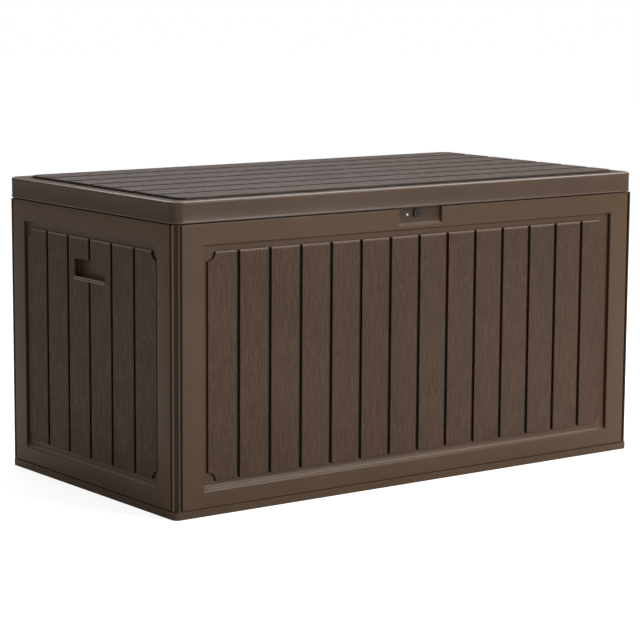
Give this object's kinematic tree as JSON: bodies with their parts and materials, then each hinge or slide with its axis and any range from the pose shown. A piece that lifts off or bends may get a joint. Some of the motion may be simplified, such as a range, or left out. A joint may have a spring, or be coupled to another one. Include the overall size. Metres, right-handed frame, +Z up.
{
  "type": "deck storage box",
  "caption": "Moulded resin outdoor storage box with grooved slat panels, corner posts, a rear-hinged lid with a raised plank top, hand holds and a front cam lock.",
  "frame": {"origin": "middle of the footprint, on the ground under the base tray", "axes": "+X to the right along the length seen from the front, front panel faces -Y, +Z up"},
  "size_m": [1.2, 0.6714, 0.6217],
  "materials": {
    "resin_body": "brown moulded resin, satin frames and fine wood grain on the slats",
    "resin_lid": "brown moulded resin, satin skirt and wood grain on the planks",
    "resin_inner": "brown moulded resin, plain inner face",
    "coated_steel": "black powder coat",
    "zinc_steel": "bright zinc plate",
    "black_lock": "black moulded face",
    "white_marker": "white peg"
  },
  "bodies": {
    "box": {"base_tray": "resin_body", "front_panel": "resin_body", "front_rail_left": "resin_body", "front_rail_right": "resin_body", "lock_housing": "resin_body", "back_panel": "resin_body", "left_panel": "resin_body", "right_panel": "resin_body", "post_front_left": "resin_body", "post_front_right": "resin_body", "post_back_left": "resin_body", "post_back_right": "resin_body", "hand_cup_left": "resin_inner", "hand_cup_right": "resin_inner", "hinge_body_leaf_left": "coated_steel", "hinge_body_leaf_right": "coated_steel", "hinge_pin_left": "zinc_steel", "hinge_pin_right": "zinc_steel", "hinge_body_screws": "zinc_steel", "lock_barrel": "black_lock", "lock_nut": "zinc_steel", "lock_marker": "white_marker"},
    "lid": {"lid_shell": "resin_lid", "lid_liner": "resin_inner", "lid_tubes": "zinc_steel", "hinge_lid_leaf_left": "coated_steel", "hinge_lid_leaf_right": "coated_steel", "hinge_lid_screws": "zinc_steel", "liner_screws": "zinc_steel", "lid_keeper": "coated_steel", "keeper_rivets": "zinc_steel"},
    "lock": {"lock_plug": "black_lock", "lock_cam": "coated_steel", "cam_screw": "zinc_steel"}
  },
  "joints": [
    {"name": "lid_hinge", "type": "hinge", "parent": "box", "child": "lid", "pos_m": [0, 0.331, 0.566], "axis": [-1, 0, 0], "range_deg": [0, 100]},
    {"name": "lock_turn", "type": "hinge", "parent": "box", "child": "lock", "pos_m": [0, -0.29, 0.5615], "axis": [0, 1, 0], "range_deg": [0, 90]}
  ]
}
